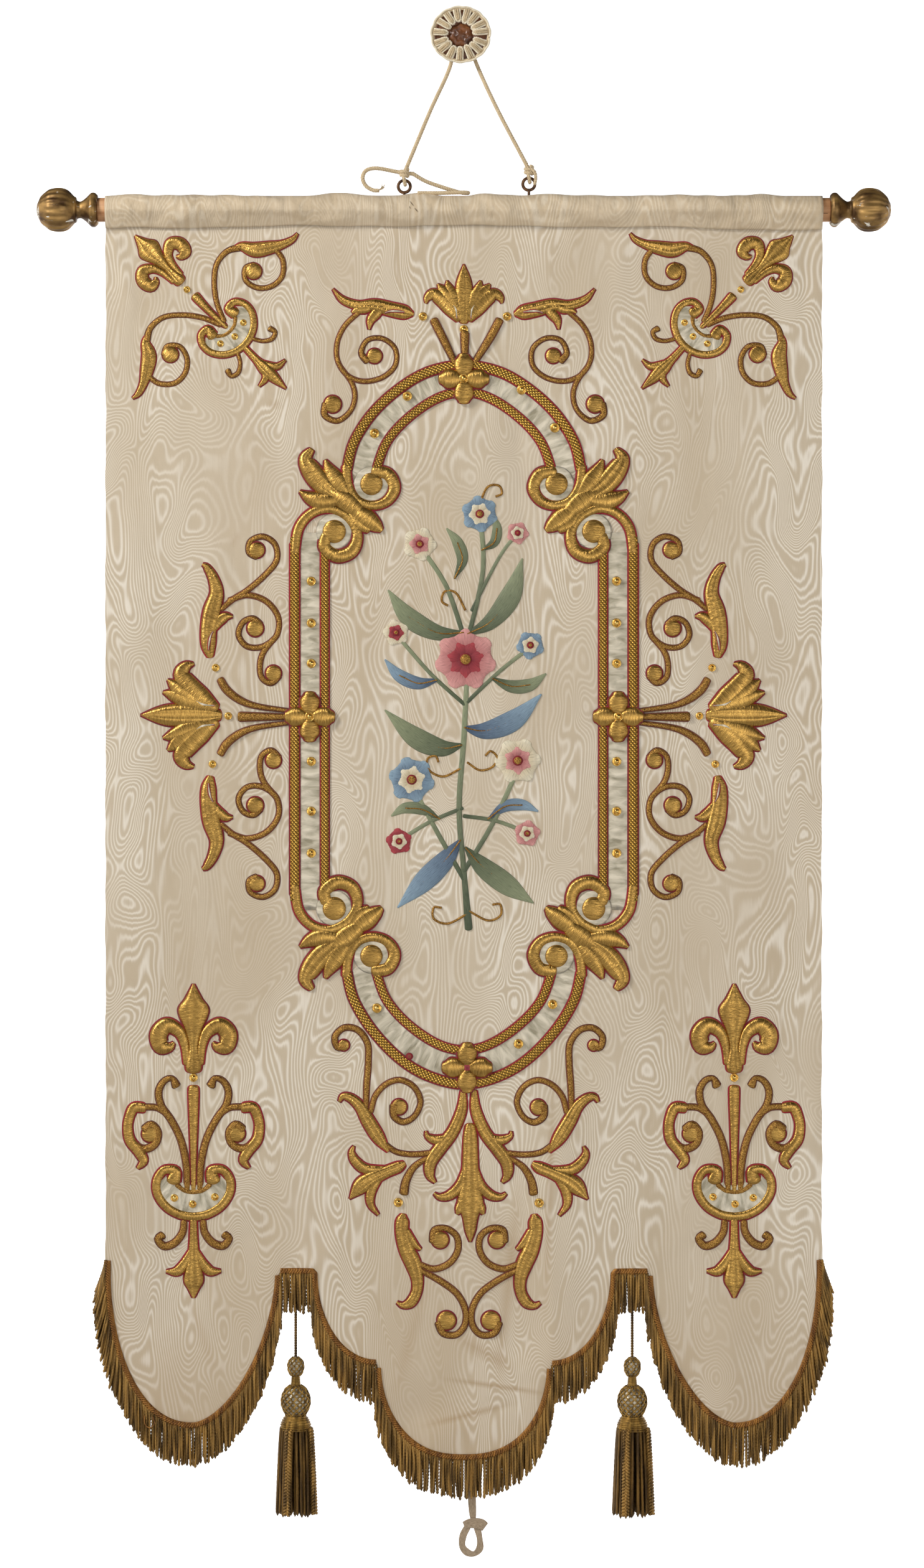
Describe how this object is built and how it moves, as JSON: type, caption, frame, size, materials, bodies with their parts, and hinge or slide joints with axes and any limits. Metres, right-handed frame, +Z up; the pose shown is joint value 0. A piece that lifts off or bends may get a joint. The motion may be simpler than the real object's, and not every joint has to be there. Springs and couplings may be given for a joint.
{
  "type": "church banner with hanging pole",
  "caption": "Long watered-silk hanging on a pole with ball finials: gold applied scrolls and frame, scalloped hem with bullion fringe and tassels, hung by a cord from a round wall boss.",
  "frame": {"origin": "centre of the wall boss's flat back, which is what the banner hangs from", "axes": "+Z up, +Y into the wall, so the banner faces -Y; +X along the pole"},
  "size_m": [1.0812, 0.0559, 1.9652],
  "materials": {
    "watered_silk": "cream watered silk",
    "heading_silk": "darker ribbed silk",
    "pale_satin": "pale grey green satin",
    "flower_thread": "coloured embroidery thread",
    "goldwork": "padded gold thread embroidery",
    "bullion": "antique gold bullion thread",
    "cotton_cord": "cream cotton cord, gimp and tape",
    "pole_wood": "bare turned softwood",
    "old_gilding": "turned wood with worn bronze gilding",
    "brown_wood": "stained turned wood",
    "dark_iron": "dark bent wire"
  },
  "bodies": {
    "root": {"banner_cloth": "watered_silk", "bottom_scroll_left": "goldwork", "bottom_scroll_right": "goldwork", "bottom_spray_left": "goldwork", "bottom_spray_right": "goldwork", "cord_tail_left": "cotton_cord", "cord_tail_right": "cotton_cord", "cup_lower_left": "goldwork", "cup_lower_right": "goldwork", "cup_upper_left": "goldwork", "cup_upper_right": "goldwork", "finial_left": "old_gilding", "finial_right": "old_gilding", "fleur_lower_left": "goldwork", "fleur_lower_right": "goldwork", "fleur_upper_left": "goldwork", "fleur_upper_right": "goldwork", "flower_spray": "flower_thread", "fringe_centre": "bullion", "fringe_inner_left": "bullion", "fringe_inner_right": "bullion", "fringe_outer_left": "bullion", "fringe_outer_right": "bullion", "gimp_rosette": "cotton_cord", "gold_frame": "goldwork", "hanging_cord": "cotton_cord", "knot_left": "cotton_cord", "knot_right": "cotton_cord", "palmette_left": "goldwork", "palmette_right": "goldwork", "palmette_top": "goldwork", "pendant": "goldwork", "pole": "pole_wood", "pole_sleeve": "heading_silk", "satin_bottom": "pale_satin", "satin_left": "pale_satin", "satin_right": "pale_satin", "satin_top": "pale_satin", "screw_eye_left": "dark_iron", "screw_eye_right": "dark_iron", "side_fleur_left": "goldwork", "side_fleur_right": "goldwork", "side_spray_lower_left": "goldwork", "side_spray_lower_right": "goldwork", "side_spray_upper_left": "goldwork", "side_spray_upper_right": "goldwork", "tassel_head_left": "bullion", "tassel_head_right": "bullion", "tassel_skirt_left": "bullion", "tassel_skirt_right": "bullion", "tie_tape": "cotton_cord", "top_spray_left": "goldwork", "top_spray_right": "goldwork", "wall_boss": "brown_wood"}
  },
  "joints": []
}
